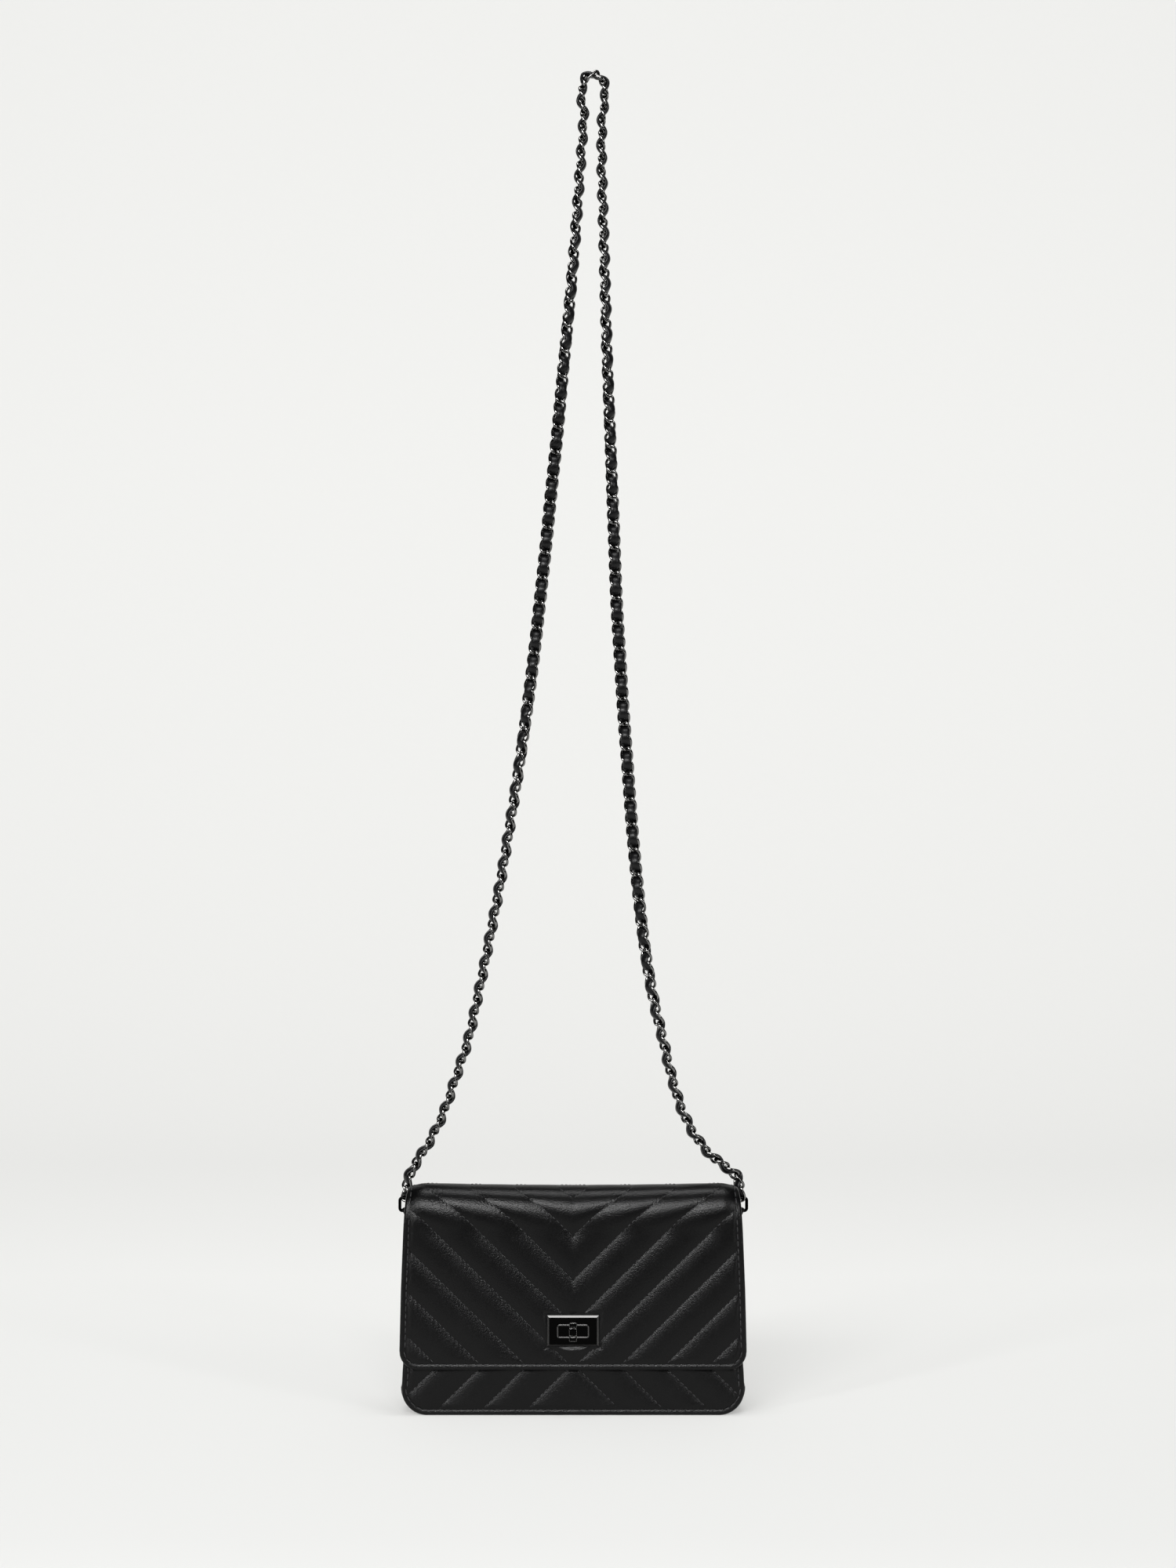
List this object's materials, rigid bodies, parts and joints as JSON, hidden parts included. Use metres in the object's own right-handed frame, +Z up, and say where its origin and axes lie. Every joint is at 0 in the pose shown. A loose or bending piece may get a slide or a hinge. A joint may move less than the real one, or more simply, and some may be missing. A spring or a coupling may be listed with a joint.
{
  "type": "chain shoulder bag",
  "caption": "Small black quilted leather flap bag with a turn lock plate, a hidden snap, a zipped middle pocket and a chain strap with a leather lace woven through it",
  "frame": {"origin": "on the floor under the middle of the bag's body, half way between the faces of the closed flap and the back", "axes": "+Z up, the flap's front faces -Y, +X to the right seen from the front"},
  "size_m": [0.197, 0.04, 0.7531],
  "materials": {
    "quilted_leather": "semi-matte fine grain, quilted",
    "leather_trim": "smooth semi-matte",
    "inner_leather": "smooth matte",
    "lining": "fine woven",
    "padding": "soft foam, hidden",
    "board": "plain fibre board, hidden",
    "zip_tape": "woven tape",
    "dark_metal": "polished dark gunmetal",
    "plain_metal": "plain steel"
  },
  "bodies": {
    "case": {"back_panel": "quilted_leather", "back_padding": "padding", "back_board": "board", "back_lining": "lining", "back_top_binding": "leather_trim", "front_panel": "quilted_leather", "front_padding": "padding", "front_board": "board", "front_lining": "lining", "front_top_binding": "leather_trim", "base_strip": "leather_trim", "left_gusset": "leather_trim", "right_gusset": "leather_trim", "card_backing": "inner_leather", "card_slots_upper": "inner_leather", "card_slots_middle": "inner_leather", "card_slots_lower": "inner_leather", "zip_pocket": "inner_leather", "zip_tapes": "zip_tape", "zip_teeth": "dark_metal", "zip_stops": "dark_metal", "snap_stud": "plain_metal", "strap_tab_left": "leather_trim", "strap_tab_right": "leather_trim", "strap_ring_left": "dark_metal", "strap_ring_right": "dark_metal", "tab_rivets": "dark_metal"},
    "flap": {"flap_outer": "quilted_leather", "flap_padding": "padding", "flap_lining": "lining", "snap_socket": "plain_metal", "lock_plate": "dark_metal", "lock_slot_frame": "dark_metal", "lock_back_plate": "plain_metal", "lock_posts": "plain_metal"},
    "toggle": {"turn_toggle": "dark_metal", "toggle_spindle": "plain_metal", "spindle_washer": "plain_metal"},
    "slider": {"zip_slider": "dark_metal"},
    "pull": {"zip_pull": "dark_metal"},
    "strap": {"chain_left": "dark_metal", "chain_top": "dark_metal", "chain_right": "dark_metal", "woven_lace": "leather_trim"}
  },
  "joints": [
    {"name": "strap_swing", "type": "hinge", "parent": "case", "child": "strap", "pos_m": [0, 0.0111, 0.118], "axis": [-1, 0, 0], "range_deg": [0, 99]},
    {"name": "flap_open", "type": "hinge", "parent": "case", "child": "flap", "pos_m": [0, 0.0149, 0.1234], "axis": [-1, 0, 0], "range_deg": [0, 165]},
    {"name": "toggle_turn", "type": "hinge", "parent": "flap", "child": "toggle", "pos_m": [0, -0.02, 0.048], "axis": [0, -1, 0], "range_deg": [0, 90]},
    {"name": "zip_slide", "type": "slide", "parent": "case", "child": "slider", "axis": [-1, 0, 0], "range_m": [0, 0.1185]},
    {"name": "zip_pull_lift", "type": "hinge", "parent": "slider", "child": "pull", "pos_m": [0.05925, 0.0032, 0.104], "axis": [0, 1, 0], "range_deg": [0, 180]}
  ],
  "couplings": [
    {"joint": "flap_open", "follows": "strap_swing", "ratio": 1.6666}
  ]
}
